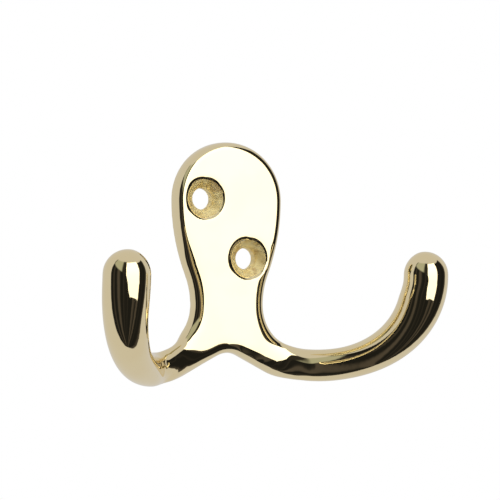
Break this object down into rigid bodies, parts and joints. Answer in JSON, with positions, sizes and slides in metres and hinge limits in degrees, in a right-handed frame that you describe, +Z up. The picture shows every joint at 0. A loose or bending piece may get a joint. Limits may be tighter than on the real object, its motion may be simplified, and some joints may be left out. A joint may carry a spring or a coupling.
{
  "type": "double robe hook",
  "caption": "Polished brass wall hook: a keyhole-shaped plate on the wall flares into upturned, round-tipped arms; countersunk screw holes on a slant.",
  "frame": {"origin": "on the wall plane, behind the centre of the plate's round crown", "axes": "+Y into the wall, out of the plate's flat back; +X to the right seen from the front; +Z up"},
  "size_m": [0.077, 0.0326, 0.0516],
  "materials": {
    "polished_brass": "mirror polished, countersinks left as cast"
  },
  "bodies": {
    "root": {"hook_body": "polished_brass"}
  },
  "joints": []
}
